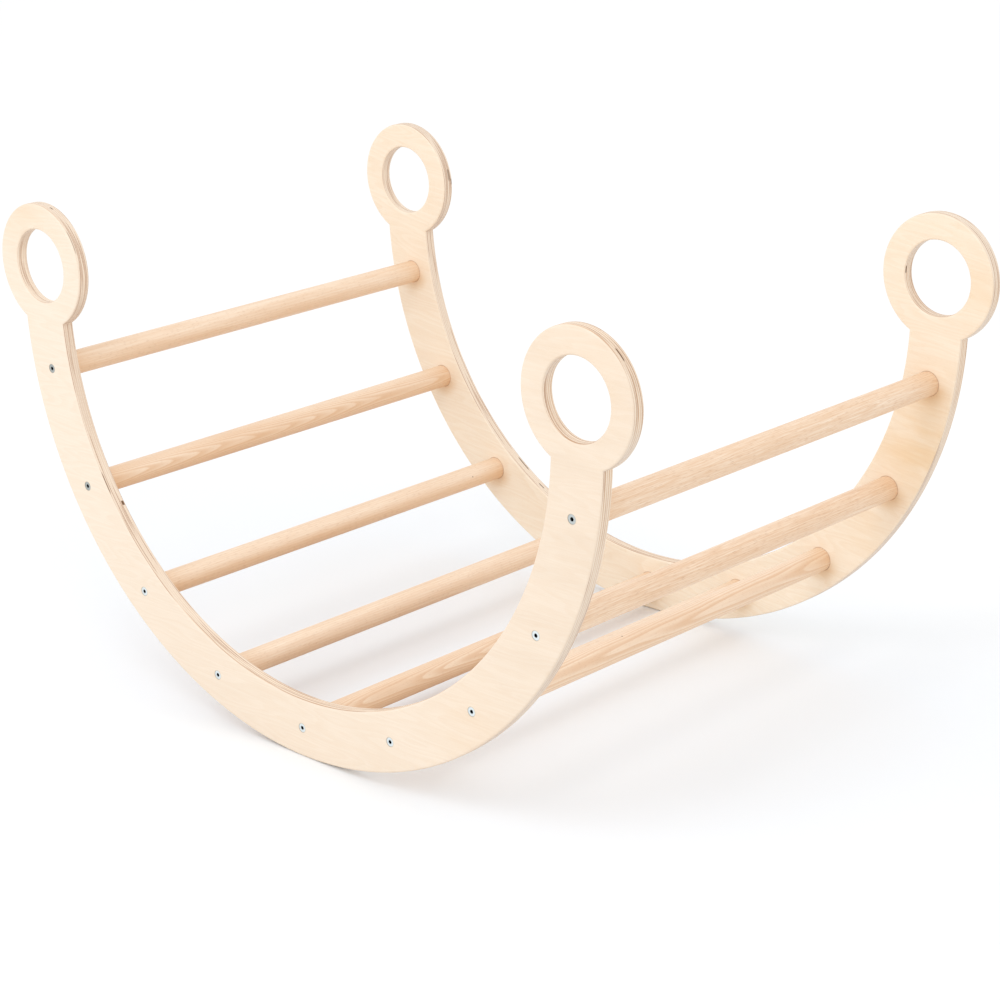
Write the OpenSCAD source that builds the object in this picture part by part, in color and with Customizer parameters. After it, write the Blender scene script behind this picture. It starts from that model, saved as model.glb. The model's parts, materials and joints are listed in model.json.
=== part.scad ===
// Wooden rocker arch: two curved plywood side panels with ring handles, joined by
// round rungs. Each rung end sits in a shallow seat and is pulled in by one screw.
// Millimetres. +X runs along the arch, +Y along the rungs, +Z up.
// The origin is on the floor, under the middle of the arch.

/* [Arch] */
// Radius of the circle that the rung centres lie on
rung_circle_r = 412; // [330:1:600]
// Width of the curved band across its face
band_w = 68; // [50:1:90]
// Thickness of the plywood
panel_t = 15; // [9:0.5:24]
// Overall width, from the outer face of one side panel to the other
overall_w = 595; // [300:1:900]
// Round-over along every edge of a side panel
edge_r = 2.5; // [0.5:0.1:4]

/* [Ring handles] */
// Outer diameter of a ring handle
ring_d = 144; // [124:1:190]
// Diameter of the hand hole
ring_hole_d = 85; // [50:1:96]
// Height of the ring centres above the centre of the arc
ring_rise = 41; // [20:1:80]

/* [Rungs] */
// Number of rungs
rung_count = 9; // [5:1:11]
// Diameter of a rung
rung_d = 28; // [20:0.5:40]
// Angle between the first and the last rung, seen from the centre of the arc
rung_span = 158; // [120:1:164]
// Depth of the seat that a rung end sits in
seat_depth = 4; // [2:0.5:5]
// Radial room between a rung and its seat
seat_clear = 0.1; // [0.05:0.05:0.4]
// Chamfer round each rung end
rung_chamfer = 0.8; // [0.2:0.1:1.5]

/* [Screws] */
// Length of a screw, head and point included
screw_l = 50; // [35:1:70]
// Diameter over the thread
thread_d = 7; // [6:0.5:8]
// Diameter of the core between the threads
core_d = 5; // [3.5:0.5:5.5]
// Distance between two turns of the thread
thread_pitch = 3; // [2:0.5:5]
// Diameter of the plain neck under the head
neck_d = 6.8; // [6:0.1:7.5]
// Length of the plain neck under the head
neck_l = 9; // [5:0.5:14]
// Diameter of the countersunk head
head_d = 10; // [9:0.5:14]
// Height of the straight rim of the head
head_rim_h = 0.8; // [0.3:0.1:1.2]
// Height of the cone under the rim
head_cone_h = 1.7; // [1:0.1:2]
// Depth of the head below the panel face
head_sink = 0.3; // [0:0.1:0.5]
// Width across the flats of the hexagon socket
socket_af = 4; // [3:0.5:5]
// Depth of the hexagon socket
socket_depth = 3; // [1.5:0.5:5]
// Room all round a screw in its holes
screw_clear = 0.1; // [0.05:0.05:0.3]

/* [Hidden] */
$fn = 96;
// How far a cut runs past the surface it opens
past = 1;

birch = [0.93, 0.84, 0.70];
beech = [0.86, 0.70, 0.54];
zinc = [0.72, 0.76, 0.80];

// The arc: its centre stands one outer radius above the floor.
band_outer_r = rung_circle_r + band_w / 2;
band_inner_r = rung_circle_r - band_w / 2;
arc_z = band_outer_r;
ring_r = ring_d / 2;
hole_r = ring_hole_d / 2;

// The band ends inside the rim of the ring, between the hand hole and the place where
// the sides of the band meet the edge of the ring.
band_end_depth = (hole_r + sqrt(pow(ring_r, 2) - pow(band_w / 2, 2))) / 2;
band_end_angle = 90 + atan2(ring_rise - band_end_depth, rung_circle_r);

rung_step = rung_span / (rung_count - 1);
web_t = panel_t - seat_depth;
rung_l = overall_w - 2 * web_t;
head_h = head_rim_h + head_cone_h;
point_l = core_d / 2;
thread_start = head_h + neck_l;
thread_l = screw_l - thread_start - point_l;
turns = floor(thread_l / thread_pitch);
// Room left beyond the point of the screw in the rung
bore_spare = 2;
bore_depth = screw_l + head_sink - web_t + bore_spare;
seat_r = rung_d / 2 + seat_clear;
shank_hole_r = max(thread_d, neck_d) / 2 + screw_clear;

function rung_angle(i) = (i - (rung_count + 1) / 2) * rung_step;

// Point at radius r and angle a from straight down, as seen from the front.
function on_arc(r, a) = [r * sin(a), -r * cos(a)];

// Point of the front view put into space, y along the rungs.
module at_point(p, y = 0) {
    translate([p[0], y, p[1]]) children();
}

// Turns what stands along +Z so that it points along +Y.
module along_y() {
    rotate([-90, 0, 0]) children();
}

// Cross-section of the panel: w wide, panel_t thick, every corner rounded over.
module eased_strip(w) {
    square([w - 2 * edge_r, panel_t], center = true);
    square([w, panel_t - 2 * edge_r], center = true);
    for (x = [-1, 1], y = [-1, 1])
        translate([x * (w / 2 - edge_r), y * (panel_t / 2 - edge_r)]) circle(r = edge_r);
}

// Curved band around the centre of the arc, from one ring to the other.
module band() {
    translate([0, panel_t / 2, 0])
        rotate([90, 0, 0])
            rotate_extrude(angle = 2 * band_end_angle, start = -90 - band_end_angle, $fn = 360)
                translate([rung_circle_r, 0]) eased_strip(band_w);
}

module ring() {
    translate([0, panel_t / 2, 0])
        rotate([90, 0, 0])
            rotate_extrude()
                translate([(ring_r + hole_r) / 2, 0]) eased_strip(ring_r - hole_r);
}

// Blind seat for a rung end on the inner face of the panel.
module rung_seat() {
    translate([0, web_t, 0])
        along_y() cylinder(r = seat_r, h = seat_depth + past);
}

// Countersunk hole through the web that is left behind the seat.
module screw_hole() {
    rim = head_sink + head_rim_h;
    cone_end = head_sink + head_h;
    hr = head_d / 2 + screw_clear;
    sr = shank_hole_r;
    along_y() rotate_extrude()
        polygon([[0, -past], [hr, -past], [hr, rim], [sr, cone_end], [sr, panel_t], [0, panel_t]]);
}

// Side panel with its outer face at y = 0 and the centre of the arc at the origin.
module side_panel() {
    color(birch) difference() {
        union() {
            band();
            for (side = [-1, 1]) translate([side * rung_circle_r, 0, ring_rise]) ring();
        }
        for (i = [1:rung_count]) at_point(on_arc(rung_circle_r, rung_angle(i))) {
            rung_seat();
            screw_hole();
        }
    }
}

// Puts a front piece in place; the rear one is the same piece turned half round.
module front() {
    translate([0, -overall_w / 2, arc_z]) children();
}

module rear() {
    rotate([0, 0, 180]) front() children();
}

module front_side_panel() {
    front() side_panel();
}

module rear_side_panel() {
    rear() side_panel();
}

// Half of a rung outline with its chamfered end and screw bore, to be turned about its axis.
module rung_outline() {
    r = rung_d / 2;
    sr = shank_hole_r;
    h = rung_l / 2;
    polygon([
        [0, 0], [r, 0], [r, h - rung_chamfer], [r - rung_chamfer, h],
        [sr, h], [sr, h - bore_depth], [0, h - bore_depth]
    ]);
}

module rung(i) {
    color(beech) at_point(on_arc(rung_circle_r, rung_angle(i))) translate([0, 0, arc_z])
        for (s = [0, 180]) rotate([0, 0, s]) along_y() rotate_extrude() rung_outline();
}

// Screw with its head face at the origin, driven in along +Y.
module screw() {
    nr = neck_d / 2;
    cr = core_d / 2;
    tr = thread_d / 2;
    // One turn: up the flank, over a narrow crest and down again
    flank = (tr - cr) / 2;
    crest = thread_pitch / 10;
    thread = [
        for (k = [0:turns - 1])
            let (z = thread_start + k * thread_pitch)
            each [[cr, z], [tr, z + flank], [tr, z + flank + crest], [cr, z + 2 * flank + crest]]
    ];
    color(zinc) along_y() difference() {
        rotate_extrude()
            polygon(concat(
                [[0, 0], [head_d / 2, 0], [head_d / 2, head_rim_h], [nr, head_h], [nr, thread_start]],
                thread,
                [[cr, screw_l - point_l], [0, screw_l]]
            ));
        translate([0, 0, -past])
            cylinder(d = socket_af / cos(30), h = socket_depth + past, $fn = 6);
    }
}

// The two screws of one rung, one from each side.
module rung_screws(i) {
    a = rung_angle(i);
    front() at_point(on_arc(rung_circle_r, a), head_sink) screw();
    rear() at_point(on_arc(rung_circle_r, -a), head_sink) screw();
}

front_side_panel();
rear_side_panel();
for (i = [1:rung_count]) {
    rung(i);
    rung_screws(i);
}
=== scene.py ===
import json
import math

import bpy
from mathutils import Matrix, Vector


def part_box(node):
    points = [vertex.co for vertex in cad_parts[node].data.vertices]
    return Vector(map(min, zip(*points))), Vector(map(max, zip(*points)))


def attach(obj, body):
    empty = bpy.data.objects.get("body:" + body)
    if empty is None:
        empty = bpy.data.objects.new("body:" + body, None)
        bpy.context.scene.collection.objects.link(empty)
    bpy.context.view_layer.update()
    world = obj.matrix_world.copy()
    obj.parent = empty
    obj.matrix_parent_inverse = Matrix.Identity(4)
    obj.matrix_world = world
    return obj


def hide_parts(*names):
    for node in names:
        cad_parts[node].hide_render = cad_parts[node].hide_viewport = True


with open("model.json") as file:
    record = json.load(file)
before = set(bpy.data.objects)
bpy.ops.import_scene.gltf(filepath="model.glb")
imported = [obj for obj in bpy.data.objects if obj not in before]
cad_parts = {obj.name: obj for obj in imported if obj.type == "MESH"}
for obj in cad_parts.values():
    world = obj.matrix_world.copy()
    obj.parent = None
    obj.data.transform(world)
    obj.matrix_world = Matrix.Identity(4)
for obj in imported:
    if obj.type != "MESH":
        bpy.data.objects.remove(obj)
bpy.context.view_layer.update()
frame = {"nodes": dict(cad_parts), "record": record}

nodes = frame["nodes"]
rungCount = sum(name.startswith("rung_") and not name.endswith("_screws") for name in nodes)
print("frame loaded:", len(nodes), "pieces")


# the side panels are modelled anew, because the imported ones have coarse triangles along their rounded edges
panelShape = {
    "edgeRound": 0.0025,
    "roundSteps": 5,
    "bandSteps": 176,
    "ringSteps": 120,
    "holeSteps": 64,
    "sinkRadius": 0.0051,     # countersunk hole: a straight rim, then a cone down to the shank hole
    "sinkRim": 0.0011,
    "sinkDepth": 0.0028,
    "shankRadius": 0.0036,
    "seatRadius": 0.0141,     # blind seat of a rung end
    "seatDepth": 0.004,
    "past": 0.001,            # how far a cut runs past the surface that it opens
    "weld": 0.00001,          # points closer than this become one
    "smoothAngle": 32,        # degrees
}


def middleOf(name):
    low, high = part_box(name)
    return (low + high) / 2


def readPanel():
    # sizes of the front panel, worked out from the frame
    ring = next(entry for entry in frame["record"]["mounts"] if entry["name"] == "front_right_ring")
    ringX, _, ringZ = ring["pos_m"]
    low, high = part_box("front_side_panel")
    lowestRung = middleOf(f"rung_{(rungCount + 1) // 2}")
    return {
        "outerY": low.y,
        "middleY": (low.y + high.y) / 2,
        "thickness": high.y - low.y,
        "ringX": ringX,
        "ringZ": ringZ,
        "ringRadius": high.x - ringX,
        "holeRadius": ring["dims"]["r_mm"] / 1000,
        "arcRadius": ringX,
        "arcZ": ringX + lowestRung.z,
        "bandWidth": 2 * lowestRung.z,
    }


panelSize = readPanel()


def deselectAll():
    bpy.ops.object.select_all(action="DESELECT")


def activate(thing):
    deselectAll()
    thing.select_set(True)
    bpy.context.view_layer.objects.active = thing


def roundedBar(name, centre, radius, width, dip, sweep, steps):
    # a bar with eased edges, spun round the y direction; it starts dip below the horizontal
    centreX, centreZ = centre
    place = (centreX + radius * math.cos(dip), panelSize["middleY"], centreZ - radius * math.sin(dip))
    deselectAll()
    bpy.ops.mesh.primitive_plane_add(size=1, location=place, rotation=(0, dip, 0))
    bar = bpy.context.object
    bar.name = name
    bar.scale = (width, panelSize["thickness"], 1)
    bpy.ops.object.transform_apply()
    bpy.ops.object.mode_set(mode="EDIT")
    bpy.ops.mesh.select_all(action="SELECT")
    bpy.ops.mesh.bevel(
        offset=panelShape["edgeRound"], segments=panelShape["roundSteps"], affect="VERTICES")
    bpy.ops.mesh.select_all(action="SELECT")
    if sweep == 360:
        bpy.ops.mesh.delete(type="ONLY_FACE")    # a closed ring has no ends
        bpy.ops.mesh.select_all(action="SELECT")
    bpy.ops.mesh.spin(steps=steps, angle=-math.radians(sweep),
                      center=(centreX, panelSize["middleY"], centreZ), axis=(0, 1, 0))
    bpy.ops.mesh.select_all(action="SELECT")
    bpy.ops.mesh.remove_doubles(threshold=panelShape["weld"])
    bpy.ops.mesh.normals_make_consistent(inside=False)
    bpy.ops.object.mode_set(mode="OBJECT")
    return bar


def steppedCutter(place):
    # countersink, shank hole and rung seat in one, from the outer face inwards
    shape = panelShape
    web = panelSize["thickness"] - shape["seatDepth"]
    steps = [    # length of each step, and how much the outline grows over it
        (shape["past"] + shape["sinkRim"], 1.0),
        (shape["sinkDepth"] - shape["sinkRim"], shape["shankRadius"] / shape["sinkRadius"]),
        (web - shape["sinkDepth"], 1.0),
        (0.0, shape["seatRadius"] / shape["shankRadius"]),
        (shape["seatDepth"] + shape["past"], 1.0),
    ]
    deselectAll()
    bpy.ops.mesh.primitive_circle_add(
        vertices=shape["holeSteps"], radius=shape["sinkRadius"], fill_type="NGON",
        location=(place.x, panelSize["outerY"] - shape["past"], place.z),
        rotation=(math.radians(90), 0, 0))
    cutter = bpy.context.object
    bpy.ops.object.transform_apply()
    bpy.ops.object.mode_set(mode="EDIT")
    bpy.ops.mesh.select_all(action="SELECT")
    for length, growth in steps:
        bpy.ops.mesh.extrude_region_move(TRANSFORM_OT_translate={"value": (0, length, 0)})
        bpy.ops.transform.resize(value=(growth, 1, growth), center_override=(place.x, 0, place.z))
    bpy.ops.mesh.select_all(action="SELECT")
    bpy.ops.mesh.normals_make_consistent(inside=False)
    bpy.ops.object.mode_set(mode="OBJECT")
    return cutter


def booleanWith(target, other, operation):
    activate(target)
    step = target.modifiers.new(operation.lower(), "BOOLEAN")
    step.operation = operation
    step.solver = "EXACT"
    step.object = other
    bpy.ops.object.modifier_apply(modifier=step.name)
    bpy.data.objects.remove(other)


def modelPanel(name):
    size = panelSize
    # the band ends inside the rim of each ring
    rimDepth = math.sqrt(size["ringRadius"] ** 2 - (size["bandWidth"] / 2) ** 2)
    bandEnd = size["ringZ"] - (size["holeRadius"] + rimDepth) / 2
    dip = math.atan2(size["arcZ"] - bandEnd, size["arcRadius"])
    panel = roundedBar(name, (0, size["arcZ"]), size["arcRadius"], size["bandWidth"],
                       dip, 180 - 2 * math.degrees(dip), panelShape["bandSteps"])
    rimRadius = (size["ringRadius"] + size["holeRadius"]) / 2
    rimWidth = size["ringRadius"] - size["holeRadius"]
    for side in (-1, 1):
        ring = roundedBar("ring", (side * size["ringX"], size["ringZ"]), rimRadius, rimWidth,
                          0, 360, panelShape["ringSteps"])
        booleanWith(panel, ring, "UNION")
    for number in range(1, rungCount + 1):
        booleanWith(panel, steppedCutter(middleOf(f"rung_{number}")), "DIFFERENCE")
    activate(panel)
    bpy.ops.object.shade_smooth_by_angle(angle=math.radians(panelShape["smoothAngle"]))
    weighted = panel.modifiers.new("flatFaces", "WEIGHTED_NORMAL")
    weighted.keep_sharp = True
    bpy.ops.object.modifier_apply(modifier=weighted.name)
    return panel


def turnedCopy(piece, name):
    # the same piece turned half round, with a mesh of its own
    copy = piece.copy()
    copy.data = piece.data.copy()
    copy.name = name
    bpy.context.scene.collection.objects.link(copy)
    copy.rotation_euler = (0, 0, math.pi)
    activate(copy)
    bpy.ops.object.transform_apply()
    return copy


frontPanel = modelPanel("frontPanel")
rearPanel = turnedCopy(frontPanel, "rearPanel")
for panel, node in ((frontPanel, "front_side_panel"), (rearPanel, "rear_side_panel")):
    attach(panel, "root")
    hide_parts(node)
print("side panels modelled:", len(frontPanel.data.polygons), "faces each")


# small helpers for colours and shader nodes
def screenColour(red, green, blue):
    # a colour as a screen shows it, 0 to 255, made linear for the shader
    def linear(value):
        value /= 255
        return value / 12.92 if value <= 0.04045 else ((value + 0.055) / 1.055) ** 2.4
    return linear(red), linear(green), linear(blue), 1.0


def feed(tree, socket, term):
    # a term is another node's output, or a plain value
    if isinstance(term, bpy.types.NodeSocket):
        tree.links.new(term, socket)
    else:
        socket.default_value = term


def calc(tree, operation, *terms, clamp=False):
    node = tree.nodes.new("ShaderNodeMath")
    node.operation = operation
    node.use_clamp = clamp
    for socket, term in zip(node.inputs, terms):
        feed(tree, socket, term)
    return node.outputs[0]


def plus(tree, first, second, clamp=False):
    return calc(tree, "ADD", first, second, clamp=clamp)


def minus(tree, first, second):
    return calc(tree, "SUBTRACT", first, second)


def times(tree, first, second, clamp=False):
    return calc(tree, "MULTIPLY", first, second, clamp=clamp)


def absolute(tree, term):
    return calc(tree, "ABSOLUTE", term)


def vectorCalc(tree, operation, *terms):
    node = tree.nodes.new("ShaderNodeVectorMath")
    node.operation = operation
    for socket, term in zip(node.inputs, terms):
        feed(tree, socket, term)
    return node.outputs["Value" if operation in ("DISTANCE", "LENGTH") else "Vector"]


def combine(tree, x, y, z):
    node = tree.nodes.new("ShaderNodeCombineXYZ")
    for socket, term in zip(node.inputs, (x, y, z)):
        feed(tree, socket, term)
    return node.outputs[0]


def split(tree, vector):
    node = tree.nodes.new("ShaderNodeSeparateXYZ")
    feed(tree, node.inputs[0], vector)
    return node.outputs


def rise(tree, value, low, high, bottom=0.0, top=1.0):
    # goes smoothly from bottom to top while the value goes from low to high
    node = tree.nodes.new("ShaderNodeMapRange")
    node.interpolation_type = "SMOOTHSTEP"
    for socket, term in zip(node.inputs, (value, low, high, bottom, top)):
        feed(tree, socket, term)
    return node.outputs[0]


def noise(tree, vector, scale=1.0, detail=2.0, roughness=0.5):
    node = tree.nodes.new("ShaderNodeTexNoise")
    for name, term in (("Vector", vector), ("Scale", scale), ("Detail", detail), ("Roughness", roughness)):
        feed(tree, node.inputs[name], term)
    return node.outputs["Fac"]


def blendColour(tree, share, first, second):
    node = tree.nodes.new("ShaderNodeMix")
    node.data_type = "RGBA"
    for socket, term in zip((node.inputs[0], node.inputs[6], node.inputs[7]), (share, first, second)):
        feed(tree, socket, term)
    return node.outputs[2]


def bump(tree, height, distance):
    node = tree.nodes.new("ShaderNodeBump")
    for name, term in (("Height", height), ("Distance", distance), ("Strength", 1.0)):
        feed(tree, node.inputs[name], term)
    return node.outputs[0]


def newMaterial(name):
    material = bpy.data.materials.new(name)
    material.use_nodes = True
    tree = material.node_tree
    return material, tree, tree.nodes["Principled BSDF"]


def giveMaterial(thing, material):
    thing.data.materials.clear()
    thing.data.materials.append(material)


def objectPoint(tree):
    return tree.nodes.new("ShaderNodeTexCoord").outputs["Object"]


def newGroup(name, inputs, outputs):
    # an input without a value is a vector
    group = bpy.data.node_groups.new(name, "ShaderNodeTree")
    for label, value in inputs.items():
        kind = "NodeSocketVector" if value is None else "NodeSocketFloat"
        socket = group.interface.new_socket(name=label, in_out="INPUT", socket_type=kind)
        if value is not None:
            socket.default_value = value
    for label in outputs:
        group.interface.new_socket(name=label, in_out="OUTPUT", socket_type="NodeSocketFloat")
    start = group.nodes.new("NodeGroupInput")
    end = group.nodes.new("NodeGroupOutput")
    return group, start.outputs, end.inputs


def useGroup(tree, group, **terms):
    node = tree.nodes.new("ShaderNodeGroup")
    node.node_tree = group
    for name, term in terms.items():
        feed(tree, node.inputs[name], term)
    return node.outputs[0] if len(node.outputs) == 1 else node.outputs


# effects that the woods share; the grain runs along the x of the vector that they are given
def stretched(group, given):
    # the vector counted in lengths along the grain and in widths across it
    size = combine(group, given["Length"], given["Width"], given["Width"])
    return vectorCalc(group, "DIVIDE", given["Vector"], size)


def makeFibreGroup():
    # long soft streaks
    group, given, result = newGroup(
        "woodFibre", {"Vector": None, "Length": 0.05, "Width": 0.001}, ["Streaks"])
    streaks = noise(group, stretched(group, given), detail=3.0, roughness=0.6)
    feed(group, result["Streaks"], rise(group, streaks, low=0.3, high=0.7))
    return group


def makeFleckGroup():
    # short dark dashes, each in a cell of its own; only a share of the cells has one
    group, given, result = newGroup(
        "woodFlecks", {"Vector": None, "Length": 0.006, "Width": 0.001, "Share": 0.3}, ["Flecks"])
    cells = group.nodes.new("ShaderNodeTexVoronoi")
    feed(group, cells.inputs["Vector"], stretched(group, given))
    cells.inputs["Scale"].default_value = 1.0
    spot = rise(group, cells.outputs["Distance"], low=0.12, high=0.34, bottom=1.0, top=0.0)
    chosen = calc(group, "LESS_THAN", split(group, cells.outputs["Color"])[0], given["Share"])
    feed(group, result["Flecks"], times(group, spot, chosen))
    return group


def slowThenSharp(group, count, start, full, drop):
    # a line for each whole step of the count: it darkens from start to full, and ends sharply after drop
    saw = calc(group, "FRACT", count)
    early = rise(group, saw, start, full)
    late = rise(group, saw, drop, 1.0, bottom=1.0, top=0.0)
    return times(group, early, late)


def makeFigureGroup():
    # contour lines of a long rolling surface, as a peeled veneer shows them
    group, given, result = newGroup(
        "veneerFigure", {"Vector": None, "Length": 0.2, "Width": 0.03, "Lines": 6.0}, ["Figure"])
    height = noise(group, stretched(group, given), detail=1.5, roughness=0.45)
    lines = times(group, height, given["Lines"])
    feed(group, result["Figure"], slowThenSharp(group, lines, start=0.0, full=0.8, drop=0.86))
    return group


def makeRingGroup():
    # growth rings round a pith that lies beside the piece and leans along it
    group, given, result = newGroup(
        "growthRings",
        {"Vector": None, "Pith": 0.04, "Lean": 0.02, "Gap": 0.003, "Wander": 0.002}, ["Ring"])
    waveSize = (0.12, 0.02, 0.02)
    x, y, z = split(group, given["Vector"])
    wave = noise(group, vectorCalc(group, "DIVIDE", given["Vector"], waveSize), detail=1.0)
    away = plus(group, plus(group, z, given["Pith"]), times(group, x, given["Lean"]))
    radius = calc(group, "SQRT", plus(group, times(group, y, y), times(group, away, away)))
    radius = plus(group, radius, times(group, wave, given["Wander"]))
    count = calc(group, "DIVIDE", radius, given["Gap"])
    feed(group, result["Ring"], slowThenSharp(group, count, start=0.1, full=0.85, drop=0.88))
    return group


def makeRungDistanceGroup():
    # distance from the axis of the nearest rung, and height above it
    group, given, result = newGroup("rungDistance", {"Vector": None}, ["Distance", "Height"])
    x, _, z = split(group, given["Vector"])
    middle = (rungCount + 1) // 2
    nextRung = middleOf(f"rung_{middle + 1}")
    step = math.atan2(nextRung.x, panelSize["arcZ"] - nextRung.z)    # the rungs are evenly spaced
    angle = calc(group, "ARCTAN2", x, minus(group, panelSize["arcZ"], z))
    number = calc(group, "ROUND", calc(group, "DIVIDE", angle, step))
    number = calc(group, "MAXIMUM", number, 1 - middle)
    number = calc(group, "MINIMUM", number, middle - 1)
    angle = times(group, number, step)
    axisX = times(group, calc(group, "SINE", angle), panelSize["arcRadius"])
    drop = times(group, calc(group, "COSINE", angle), panelSize["arcRadius"])
    axisZ = minus(group, panelSize["arcZ"], drop)
    axis = combine(group, axisX, 0.0, axisZ)
    feed(group, result["Distance"], vectorCalc(group, "DISTANCE", combine(group, x, 0.0, z), axis))
    feed(group, result["Height"], minus(group, z, axisZ))
    return group


fibreGroup = makeFibreGroup()
fleckGroup = makeFleckGroup()
figureGroup = makeFigureGroup()
ringGroup = makeRingGroup()
rungDistanceGroup = makeRungDistanceGroup()
print("shared effects made")


# birch plywood of the side panels
plywood = {
    "plies": 11,
    "longGrain": screenColour(250, 235, 216),    # edge of a ply cut along its fibres
    "endGrain": screenColour(224, 190, 156),     # edge of a ply cut across its fibres
    "shade": screenColour(212, 192, 176),        # painted shade: what the edges turn to where they face down, at the left
    "cool": screenColour(226, 222, 216),         # and a cooler painted shade at the right
    "glue": screenColour(162, 106, 60),
    "gap": screenColour(112, 78, 48),
    "stain": screenColour(224, 184, 132),        # painted shadow on the veneer just below a seat
    "headGap": screenColour(156, 148, 132),      # the shadow between a screw head and its countersink
    # patterns of the face veneer, lengths and widths in metres
    "figure": {"Length": 0.20, "Width": 0.030, "Lines": 13.0},
    "fibre": {"Length": 0.030, "Width": 0.0009},
    "broad": {"Length": 0.09, "Width": 0.022},
    "flecks": {"Length": 0.008, "Width": 0.0011, "Share": 0.3},
    # the plies at the edges
    "veneerEnds": (0.55, 1.1),                   # where the face gives way to the plies, in plies
    "sway": 0.35,                                # how far the plies wander, in plies
    "swayScale": 25.0,                           # a higher scale makes a finer pattern
    "cutAngle": (0.35, 1.0),                     # sine of the angle to the fibres: long grain, end grain
    "speckle": 0.8,                              # fine grain of the cut fibres
    "speckleScale": 700.0,
    "stretch": 0.6,                              # end grain that is left in a ply's paler stretches
    "stretchScale": 14.0,
    "plyShift": 0.07,                            # how far the stretches move from one ply to the next
    "leftCut": 0.45,                             # painted light: end grain that is left at the left end, so the edges there are lighter
    "leftCutEnds": (-0.35, 0.05),                # x over which it comes back
    "downShare": 0.4,                            # how much an edge that faces down turns to the painted shade
    "downFrom": -0.7,                            # z of its normal where it does so fully
    "shadeEnds": (-0.3, 0.1),                    # x over which the painted shade gives way to the cooler one
    # the glue lines
    "glueWidth": 0.0002,
    "glueFaint": 0.3,                            # strength of a faint line
    "glueDark": 0.5,                             # added to that in a dark stretch
    "glueWiden": 1.6,                            # how much wider a line is there
    "glueStretch": (0.5, 0.64),                  # values of the pattern over which a line turns dark
    "glueScale": 11.0,
    "glueShift": 0.11,                           # how far the stretches move from one line to the next
    # lines round the rungs and the screw heads, and painted shadows below the seats
    "rimOffset": 0.0001,                         # from the edge of the hole to the middle of the line
    "rimFade": (0.0002, 0.0006),
    "rimShare": 0.5,
    "stainReach": 0.032,                         # from the rung's axis
    "stainTop": (-0.012, 0.008),                 # heights over which a painted shadow ends, from the rung's axis
    "stainShare": 0.5,
    "relief": 0.00008,                           # depth of a glue line or gap
    "fibreRelief": 0.5,                          # height of the fibres, as a share of that
    "roughness": 0.5,
}

# the look of each panel; places on it are given as x and z
panelLooks = {
    "frontPanel": {
        "face": screenColour(245, 231, 214),
        "warm": screenColour(234, 217, 198),
        "golden": screenColour(240, 214, 184),
        "line": screenColour(224, 192, 156),
        "tints": (0.0, 0.25, 0.65),              # share of the warm colour: left, middle and right
        "turn": 0.0,                             # of the grain, in degrees
        "figure": 0.10,                          # strengths of the three patterns
        "fibre": 0.11,
        "flecks": 0.14,
        # golden patches, dark glue lines, which below the left rings also stand in as painted shade of the
        # ring, and places with little end grain: x, z, radius, strength
        "patches": [(0.26, 0.10, 0.10, 0.25), (-0.43, 0.55, 0.10, 0.35), (0.43, 0.53, 0.10, 0.20)],
        "seams": [(-0.362, 0.360, 0.110, 0.42), (-0.395, 0.560, 0.045, 0.40)],
        "pale": [],
        # gaps in the inner plies: x, z, half length, strength, middle and half width counted in plies
        "gaps": [
            (-0.391, 0.555, 0.0032, 0.9, 5.5, 0.6),
            (-0.3055, 0.2225, 0.0034, 1.0, 8.4, 1.1),
            (-0.352, 0.523, 0.0165, 0.7, 1.5, 0.3),
            (-0.357, 0.533, 0.0220, 0.45, 6.0, 0.15),
            (-0.320, 0.246, 0.0150, 0.9, 1.35, 0.3),
            (0.462, 0.5388, 0.0090, 1.0, 4.6, 0.6),
            (0.459, 0.5412, 0.0185, 0.55, 5.0, 0.15),
            (0.478, 0.5155, 0.0090, 0.5, 5.1, 0.15),
        ],
    },
    "rearPanel": {
        "face": screenColour(253, 241, 223),
        "warm": screenColour(246, 225, 202),
        "golden": screenColour(240, 206, 160),
        "line": screenColour(230, 196, 152),
        "tints": (0.45, 0.0, 0.50),
        "turn": 6.0,
        "figure": 0.13,
        "fibre": 0.13,
        "flecks": 0.20,
        "patches": [(0.395, 0.285, 0.100, 0.48), (0.410, 0.345, 0.065, 0.20), (0.330, 0.180, 0.060, 0.20),
                    (0.470, 0.480, 0.060, 0.20)],
        "seams": [(-0.362, 0.350, 0.100, 0.22), (-0.400, 0.560, 0.045, 0.50)],
        "pale": [(0.450, 0.535, 0.075, 0.6)],
        "gaps": [
            (-0.3425, 0.5010, 0.0090, 0.5, 3.9, 1.5),
            (-0.3412, 0.4925, 0.0045, 0.7, 1.7, 0.7),
            (0.3693, 0.4905, 0.0050, 1.0, 9.0, 0.7),
            (-0.222, 0.140, 0.0130, 0.9, 3.05, 0.6),
            (-0.188, 0.118, 0.0060, 0.9, 5.5, 0.6),
        ],
    },
}


def spotShare(tree, point, spot, core=0.0):
    # the spot's strength in its core, a share of its radius, and then down to nothing at its radius
    spotX, spotZ, radius, strength = spot
    x, _, z = split(tree, point)
    away = vectorCalc(tree, "DISTANCE", combine(tree, x, 0.0, z), (spotX, 0.0, spotZ))
    return rise(tree, away, core * radius, radius, strength, 0.0)


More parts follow.
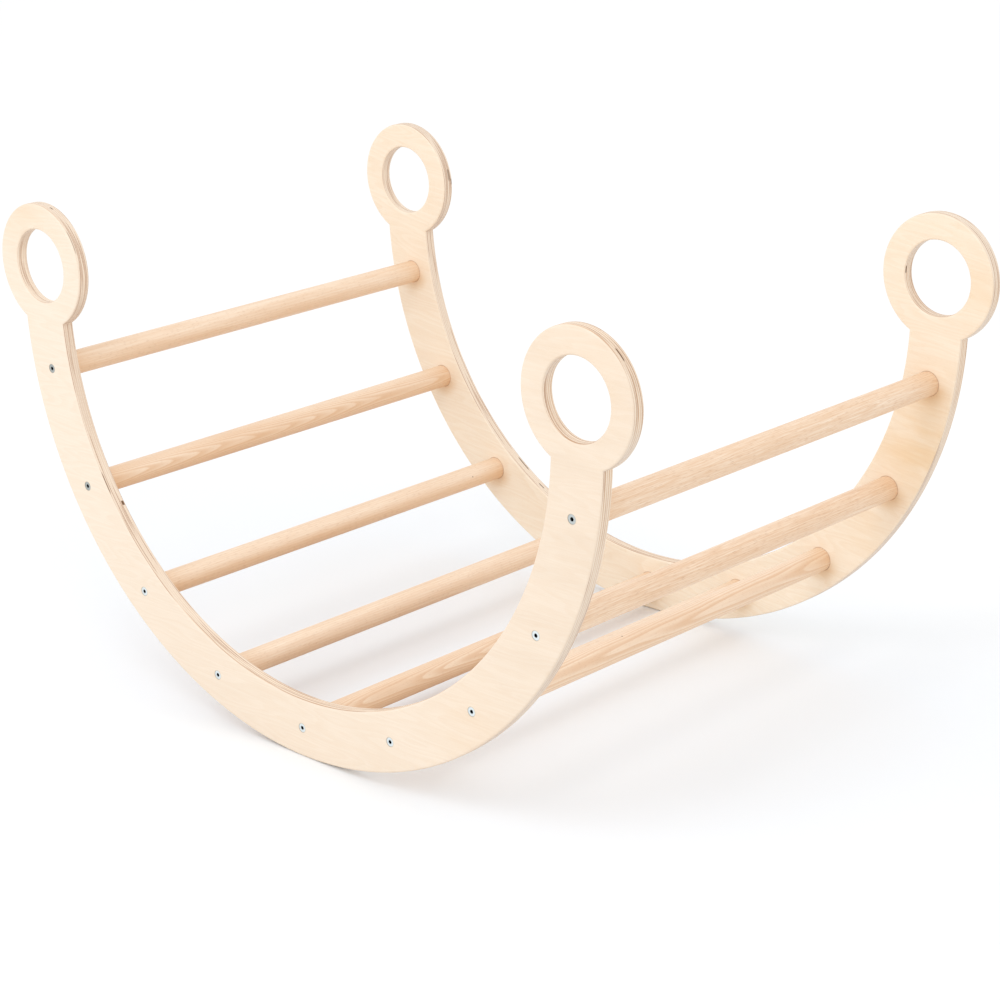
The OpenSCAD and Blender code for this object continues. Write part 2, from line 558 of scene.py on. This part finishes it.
def veneerFace(tree, point, looks):
    # colour of the face veneer, its grain along x, and the fibres for its relief
    turned = tree.nodes.new("ShaderNodeMapping")
    turned.inputs["Rotation"].default_value = (0, math.radians(-looks["turn"]), 0)
    feed(tree, turned.inputs["Vector"], point)
    grain = turned.outputs[0]
    figure = useGroup(tree, figureGroup, Vector=grain, **plywood["figure"])
    fibre = useGroup(tree, fibreGroup, Vector=grain, **plywood["fibre"])
    broad = useGroup(tree, fibreGroup, Vector=grain, **plywood["broad"])
    flecks = useGroup(tree, fleckGroup, Vector=grain, **plywood["flecks"])

    x = split(tree, point)[0]
    end = panelSize["arcRadius"]
    left, middle, right = looks["tints"]
    leftTint = rise(tree, x, -end, -end / 2, left, middle)
    rightTint = rise(tree, x, end / 2, end, 0.0, right - middle)
    unevenness = plus(tree, times(tree, broad, 0.6), 0.7)
    tint = times(tree, plus(tree, leftTint, rightTint), unevenness, clamp=True)
    face = blendColour(tree, tint, looks["face"], looks["warm"])
    for spot in looks["patches"]:
        patch = times(tree, spotShare(tree, point, spot), plus(tree, broad, 0.5))
        face = blendColour(tree, patch, face, looks["golden"])
    for pattern, strength in ((figure, "figure"), (fibre, "fibre"), (flecks, "flecks")):
        face = blendColour(tree, times(tree, pattern, looks[strength]), face, looks["line"])
    return face, fibre


def endGrainShare(tree, point, ply, normal, looks):
    # an edge shows end grain where it cuts across the fibres: they run along x in one ply, z in the next
    x, _, z = split(tree, point)
    alongX = absolute(tree, split(tree, normal)[0])
    alongZ = absolute(tree, split(tree, normal)[2])
    inPlane = calc(tree, "SQRT", plus(tree, times(tree, alongX, alongX), times(tree, alongZ, alongZ)))
    crossPly = calc(tree, "MODULO", absolute(tree, ply), 2.0)
    cut = plus(tree, times(tree, crossPly, alongZ), times(tree, minus(tree, 1.0, crossPly), alongX))
    cut = rise(tree, calc(tree, "DIVIDE", cut, inPlane), *plywood["cutAngle"])
    speckle = noise(tree, point, plywood["speckleScale"], detail=3.0, roughness=0.7)
    speckle = times(tree, minus(tree, speckle, 0.5), plywood["speckle"])
    cut = plus(tree, cut, speckle, clamp=True)
    plyPlace = combine(tree, x, times(tree, ply, plywood["plyShift"]), z)
    stretch = noise(tree, plyPlace, plywood["stretchScale"])
    cut = times(tree, cut, rise(tree, stretch, low=0.3, high=0.65, bottom=plywood["stretch"]))
    # painted light: less end grain towards the left end makes the edges there lighter
    cut = times(tree, cut, rise(tree, x, *plywood["leftCutEnds"], bottom=plywood["leftCut"]))
    for spot in looks["pale"]:
        cut = times(tree, cut, minus(tree, 1.0, spotShare(tree, point, spot, core=0.4)))
    return cut


def glueLines(tree, point, count, looks):
    # faint for the most part, and wider and darker in places
    x, _, z = split(tree, point)
    seam = calc(tree, "MAXIMUM", calc(tree, "ROUND", count), 1.0)
    seam = calc(tree, "MINIMUM", seam, plywood["plies"] - 1.0)
    seamPlace = combine(tree, x, times(tree, seam, plywood["glueShift"]), z)
    stretch = noise(tree, seamPlace, plywood["glueScale"], detail=1.0)
    dark = rise(tree, stretch, *plywood["glueStretch"])
    # dark glue lines; the spot below each left ring is also painted shade of the ring
    for spot in looks["seams"]:
        dark = calc(tree, "MAXIMUM", dark, spotShare(tree, point, spot, core=0.4))
    halfLine = plywood["glueWidth"] * plywood["plies"] / panelSize["thickness"]
    halfLine = times(tree, plus(tree, times(tree, dark, plywood["glueWiden"]), 1.0), halfLine)
    fromSeam = absolute(tree, minus(tree, count, seam))
    line = rise(tree, calc(tree, "DIVIDE", fromSeam, halfLine), low=0.4, high=1.1, bottom=1.0, top=0.0)
    strength = plus(tree, times(tree, dark, plywood["glueDark"]), plywood["glueFaint"])
    return times(tree, line, strength)


def openGaps(tree, point, count, looks):
    # short dark gaps in the inner plies
    gaps = 0.0
    for *spot, middle, halfWidth in looks["gaps"]:
        here = spotShare(tree, point, spot, core=0.6)
        fromMiddle = absolute(tree, minus(tree, count, middle))
        inPly = rise(tree, fromMiddle, halfWidth - 0.15, halfWidth + 0.1, bottom=1.0, top=0.0)
        gaps = calc(tree, "MAXIMUM", gaps, times(tree, here, inPly))
    return gaps


def markRims(tree, point, depth, face):
    # on the inner face, a painted shadow below each seat and a faint line where the rung enters it;
    # on the outer face, a painted shadow line round each screw head
    distance, height = useGroup(tree, rungDistanceGroup, Vector=point)
    inner = calc(tree, "GREATER_THAN", depth, panelSize["thickness"] / 2)
    outer = minus(tree, 1.0, inner)
    # painted shadow below each seat, on the inner face
    stain = rise(tree, distance, panelShape["seatRadius"], plywood["stainReach"],
                 bottom=plywood["stainShare"], top=0.0)
    stain = times(tree, stain, rise(tree, height, *plywood["stainTop"], bottom=1.0, top=0.0))
    face = blendColour(tree, times(tree, stain, inner), face, plywood["stain"])
    for side, radius, colour in ((inner, "seatRadius", "glue"), (outer, "sinkRadius", "headGap")):
        fromRim = absolute(tree, minus(tree, distance, panelShape[radius] + plywood["rimOffset"]))
        rim = rise(tree, fromRim, *plywood["rimFade"], bottom=plywood["rimShare"], top=0.0)
        face = blendColour(tree, times(tree, rim, side), face, plywood[colour])
    return face


def makePlywood(name, looks):
    material, tree, shader = newMaterial(name)
    point = objectPoint(tree)
    normal = tree.nodes.new("ShaderNodeTexCoord").outputs["Normal"]
    x, y, _ = split(tree, point)

    # depth below the outer face, also counted in plies, and how far a point is from the nearer face
    depth = minus(tree, -panelSize["outerY"], absolute(tree, y))
    count = times(tree, depth, plywood["plies"] / panelSize["thickness"])
    fromFace = calc(tree, "MINIMUM", count, minus(tree, plywood["plies"], count))
    edge = rise(tree, fromFace, *plywood["veneerEnds"])
    sway = times(tree, minus(tree, noise(tree, point, plywood["swayScale"]), 0.5), plywood["sway"])
    count = plus(tree, count, times(tree, sway, edge))

    # the plies at the edges
    cut = endGrainShare(tree, point, calc(tree, "FLOOR", count), normal, looks)
    plies = blendColour(tree, cut, plywood["longGrain"], plywood["endGrain"])
    line = glueLines(tree, point, count, looks)
    plies = blendColour(tree, line, plies, plywood["glue"])
    # painted shade: edges that face down turn darker at the left and cooler at the right
    edgeShade = blendColour(tree, rise(tree, x, *plywood["shadeEnds"]), plywood["shade"], plywood["cool"])
    upwards = split(tree, normal)[2]
    down = rise(tree, upwards, plywood["downFrom"], 0.0, bottom=plywood["downShare"], top=0.0)
    plies = blendColour(tree, down, plies, edgeShade)
    gaps = openGaps(tree, point, count, looks)
    plies = blendColour(tree, gaps, plies, plywood["gap"])

    face, fibre = veneerFace(tree, point, looks)
    face = markRims(tree, point, depth, face)
    feed(tree, shader.inputs["Base Color"], blendColour(tree, edge, face, plies))
    shader.inputs["Roughness"].default_value = plywood["roughness"]
    hollows = times(tree, calc(tree, "MAXIMUM", line, gaps), edge)
    relief = minus(tree, times(tree, fibre, plywood["fibreRelief"]), hollows)
    feed(tree, shader.inputs["Normal"], bump(tree, relief, plywood["relief"]))
    return material


for panel in (frontPanel, rearPanel):
    giveMaterial(panel, makePlywood("birchPlywood_" + panel.name, panelLooks[panel.name]))
print("plywood on the side panels")


# beech of the rungs
beech = {
    "light": screenColour(254, 235, 213),
    "dark": screenColour(226, 180, 136),
    "fleck": screenColour(190, 142, 102),
    "end": screenColour(224, 172, 114),          # painted shade on the underside, and darker towards the seats, where it is partly painted shade
    "speck": screenColour(112, 66, 36),
    "speckRadius": 0.0014,
    "wander": 0.004,                             # how far the growth rings wander
    "fibre": {"Length": 0.030, "Width": 0.0009},
    "broad": {"Length": 0.20, "Width": 0.012},
    "flecks": {"Width": 0.0008, "Share": 0.5},
    "heartFade": (-0.1, 0.7),                    # heights over which the painted shade on the underside ends, in radii
    "endStart": 0.225,                           # where a rung starts to darken, from its middle
    "endShare": 0.22,
    "shift": 0.01,                               # of the patterns along the stick, for each degree of turn
    "relief": 0.00004,
    "fleckRelief": 0.6,                          # depth of a fleck, as a share of a fibre's height
    "roughness": 0.48,
}

# how each rung was cut: turn of the stick in degrees, distance and lean of the pith, width of its
# growth rings, strength of the rings and of the fibres, length and strength of the flecks, and shares
# of the darker colours over all and of the painted shade on the underside
rungCuts = [
    (200, 0.060, 0.006, 0.0030, 0.20, 0.24, 0.008, 0.40, 0.36, 0.18),
    (75, 0.060, -0.024, 0.0011, 0.55, 0.15, 0.006, 0.25, 0.38, 0.30),
    (150, 0.070, 0.008, 0.0026, 0.16, 0.28, 0.010, 0.40, 0.20, 0.34),
    (310, 0.050, 0.010, 0.0028, 0.22, 0.26, 0.008, 0.35, 0.28, 0.06),
    (60, 0.040, 0.024, 0.0012, 0.52, 0.25, 0.006, 0.25, 0.42, 0.20),
    (120, 0.060, 0.010, 0.0028, 0.30, 0.40, 0.012, 0.35, 0.05, 0.0),
    (70, 0.050, 0.012, 0.0019, 0.50, 0.22, 0.006, 0.25, 0.22, 0.05),
    (20, 0.065, 0.006, 0.0018, 0.25, 0.60, 0.012, 0.45, 0.25, 0.0),
    (250, 0.080, 0.005, 0.0016, 0.25, 0.60, 0.012, 0.50, 0.25, 0.0),
]

# single dark specks: number of the rung, and places on its surface
specks = {
    3: [(-0.2491, 0.2273, 0.1333)],
    7: [(0.2659, -0.0706, 0.1415)],
}


def makeBeech(number, centre, cut):
    turn, pith, lean, gap, figure, fibres, fleckLength, dashes, warmth, undersideShade = cut
    material, tree, shader = newMaterial(f"beech_{number}")
    point = objectPoint(tree)

    # the stick's own coordinates, with x along the rung; each stick has its own stretch of the patterns
    place = tree.nodes.new("ShaderNodeMapping")
    place.vector_type = "TEXTURE"
    place.inputs["Location"].default_value = centre
    place.inputs["Rotation"].default_value = (math.radians(turn), 0, math.radians(90))
    feed(tree, place.inputs["Vector"], point)
    shift = turn * beech["shift"]
    stick = vectorCalc(tree, "ADD", place.outputs[0], (shift, 0.0, 0.0))

    rings = useGroup(tree, ringGroup, Vector=stick, Pith=pith - shift * lean, Lean=lean, Gap=gap,
                     Wander=beech["wander"])
    fibre = useGroup(tree, fibreGroup, Vector=stick, **beech["fibre"])
    broad = useGroup(tree, fibreGroup, Vector=stick, **beech["broad"])
    flecks = useGroup(tree, fleckGroup, Vector=stick, Length=fleckLength, **beech["flecks"])
    colour = beech["light"]
    for pattern, strength, other in (
        (broad, warmth, "dark"),
        (rings, figure, "dark"),
        (fibre, fibres, "dark"),
        (flecks, dashes, "fleck"),
    ):
        colour = blendColour(tree, times(tree, pattern, strength), colour, beech[other])

    # painted shade: darker on the underside, and darker towards the seats, partly painted shade; and a few
    # single specks
    low, high = [centre.z + share * panelShape["seatRadius"] for share in beech["heartFade"]]
    below = rise(tree, split(tree, point)[2], low, high, bottom=undersideShade, top=0.0)
    colour = blendColour(tree, below, colour, beech["end"])
    fromMiddle = absolute(tree, split(tree, place.outputs[0])[0])
    innerFace = -panelSize["outerY"] - panelSize["thickness"]
    # darker towards the seats, partly painted shade near the panels
    ends = rise(tree, fromMiddle, beech["endStart"], innerFace, top=beech["endShare"])
    colour = blendColour(tree, ends, colour, beech["end"])
    for spot in specks.get(number, []):
        away = vectorCalc(tree, "DISTANCE", point, spot)
        speck = rise(tree, away, 0.0, beech["speckRadius"], bottom=1.0, top=0.0)
        colour = blendColour(tree, speck, colour, beech["speck"])

    feed(tree, shader.inputs["Base Color"], colour)
    shader.inputs["Roughness"].default_value = beech["roughness"]
    relief = minus(tree, fibre, times(tree, flecks, beech["fleckRelief"]))
    feed(tree, shader.inputs["Normal"], bump(tree, relief, beech["relief"]))
    return material


for number, cut in enumerate(rungCuts, start=1):
    rung = nodes[f"rung_{number}"]
    giveMaterial(rung, makeBeech(number, middleOf(rung.name), cut))
print("beech on the rungs")


# zinc of the screws: bright on the face of the head, with painted shade dark down in the socket, and painted
# darker reflections on the outer heads
zinc = {
    "plate": screenColour(222, 231, 233),
    "dull": screenColour(126, 128, 122),         # painted darker reflection on the outer heads, which mirror a darker room
    # painted shade down in the socket
    "inside": screenColour(34, 44, 52),
    "headSink": 0.0003,
    "socketDepth": (0.0001, 0.0007),             # depth below the head's face over which the painted socket shade turns dark
    "socketRadius": (0.0016, 0.0026),            # and distance from the screw's axis
    "dullLeft": (-0.36, -0.28),                  # x over which the painted darker reflection at the left ends
    "leftShare": 0.65,
    "dullRight": (0.36, 0.40),                   # and the one at the right begins
    "rightShare": 0.45,
    "metallic": 0.85,
    "roughness": 0.34,
}


def makeZinc():
    material, tree, shader = newMaterial("zincPlate")
    point = objectPoint(tree)
    x, y, _ = split(tree, point)
    fromAxis = useGroup(tree, rungDistanceGroup, Vector=point)["Distance"]
    depth = minus(tree, -panelSize["outerY"] - zinc["headSink"], absolute(tree, y))
    # painted shade: dark down in the socket and on the head round its axis
    below = rise(tree, depth, *zinc["socketDepth"])
    central = rise(tree, fromAxis, *zinc["socketRadius"], bottom=1.0, top=0.0)
    inside = calc(tree, "MAXIMUM", below, central)
    # painted darker reflections on the heads at both ends
    leftReflection = rise(tree, x, *zinc["dullLeft"], bottom=zinc["leftShare"], top=0.0)
    rightReflection = rise(tree, x, *zinc["dullRight"], bottom=0.0, top=zinc["rightShare"])
    plate = blendColour(tree, plus(tree, leftReflection, rightReflection), zinc["plate"], zinc["dull"])
    feed(tree, shader.inputs["Base Color"], blendColour(tree, inside, plate, zinc["inside"]))
    shader.inputs["Metallic"].default_value = zinc["metallic"]
    shader.inputs["Roughness"].default_value = zinc["roughness"]
    return material


zincPlate = makeZinc()
for name, node in nodes.items():
    if name.endswith("_screws"):
        giveMaterial(node, zincPlate)
print("zinc on the screws")


# floor and light; the floor has one colour for the camera and another for the light that it throws back
studio = {
    "floorSize": 60.0,
    "floorDrop": 0.0002,                         # how far the floor lies below the arch
    # colours under the arch and away from it; under the arch both are painted shade: the seen colour a little
    # darker and bluer, and the colour thrown back dark and warm, which darkens the rungs' undersides
    "seenUnder": (0.935, 0.965, 1.0, 1.0),
    "seenAway": (1.0, 1.0, 1.0, 1.0),
    "litUnder": (0.54, 0.40, 0.28, 1.0),
    "litAway": (0.86, 0.84, 0.81, 1.0),
    # ellipses on the floor: middle, half length and half width, and where the colour changes, in these
    "seenSpot": ((0.0, 0.0), (0.72, 0.31), (1.0, 2.6)),
    "litSpot": ((-0.28, -0.09), (0.42, 0.24), (0.7, 1.1)),
    "worldLight": 1.0,
    # place, point that it aims at, diameter, watts
    "lamps": {
        "keyLight": ((0.35, -1.25, 1.90), (0.0, 0.0, 0.1), 0.9, 4.4),
        "frontFill": ((-0.5, -3.4, 1.4), (0.0, 0.0, 0.3), 2.4, 14.0),
    },
}


def seenByEye(tree):
    # 1 for rays that reach the eye directly or through a mirror or glass
    path = tree.nodes.new("ShaderNodeLightPath").outputs
    some = calc(tree, "MAXIMUM", path["Is Camera Ray"], path["Is Glossy Ray"])
    return calc(tree, "MAXIMUM", some, path["Is Transmission Ray"])


def outsideSpot(tree, spot):
    # 0 in the spot, 1 away from it
    middle, reach, fade = spot
    x, y, _ = split(tree, objectPoint(tree))
    place = vectorCalc(tree, "SUBTRACT", combine(tree, x, y, 0.0), (*middle, 0.0))
    place = vectorCalc(tree, "DIVIDE", place, (*reach, 1.0))
    return rise(tree, vectorCalc(tree, "LENGTH", place), *fade)


def makeFloor():
    bpy.ops.mesh.primitive_plane_add(size=studio["floorSize"], location=(0, 0, -studio["floorDrop"]))
    floor = bpy.context.object
    floor.name = "floor"
    material, tree, shader = newMaterial("floorPaper")
    # painted shade: the floor under the arch is seen darker and throws back a dark warm light
    seen = blendColour(tree, outsideSpot(tree, studio["seenSpot"]), studio["seenUnder"], studio["seenAway"])
    lit = blendColour(tree, outsideSpot(tree, studio["litSpot"]), studio["litUnder"], studio["litAway"])
    feed(tree, shader.inputs["Base Color"], blendColour(tree, seenByEye(tree), lit, seen))
    shader.inputs["Roughness"].default_value = 1.0
    shader.inputs["Specular IOR Level"].default_value = 0.0
    giveMaterial(floor, material)


def makeWorld():
    # plain white, seen and as light
    world = bpy.data.worlds.new("whiteStudio")
    world.use_nodes = True
    bpy.context.scene.world = world
    background = world.node_tree.nodes["Background"]
    background.inputs["Color"].default_value = (1.0, 1.0, 1.0, 1.0)
    background.inputs["Strength"].default_value = studio["worldLight"]


def makeLamp(name, place, aim, size, power):
    data = bpy.data.lights.new(name, "AREA")
    data.shape = "DISK"
    data.size = size
    data.energy = power
    lamp = bpy.data.objects.new(name, data)
    lamp.location = place
    lamp.rotation_euler = (Vector(aim) - lamp.location).to_track_quat("-Z", "Y").to_euler()
    bpy.context.scene.collection.objects.link(lamp)


makeFloor()
makeWorld()
for name, (place, aim, size, power) in studio["lamps"].items():
    makeLamp(name, place, aim, size, power)
print("floor and light set")


# where the photograph was taken from: metres and degrees, and millimetres on the sensor
view = {
    "place": (1.993, -2.0225, 1.199),
    "heading": 44.29,
    "down": 19.07,
    "roll": -1.46,
    "lens": 94.5,
    "sensor": 36.0,
    "farthest": 200.0,
}


def makeCamera():
    data = bpy.data.cameras.new("camera")
    data.sensor_fit = "HORIZONTAL"
    data.sensor_width = view["sensor"]
    data.lens = view["lens"]
    data.clip_end = view["farthest"]
    camera = bpy.data.objects.new("camera", data)
    turn = Matrix.Rotation(math.radians(view["heading"]), 4, "Z")
    tip = Matrix.Rotation(math.radians(90 - view["down"]), 4, "X")
    roll = Matrix.Rotation(math.radians(view["roll"]), 4, "Z")
    camera.matrix_world = Matrix.Translation(view["place"]) @ turn @ tip @ roll
    bpy.context.scene.collection.objects.link(camera)
    bpy.context.scene.camera = camera


makeCamera()
bpy.context.scene.view_settings.view_transform = "Standard"
print("camera set")
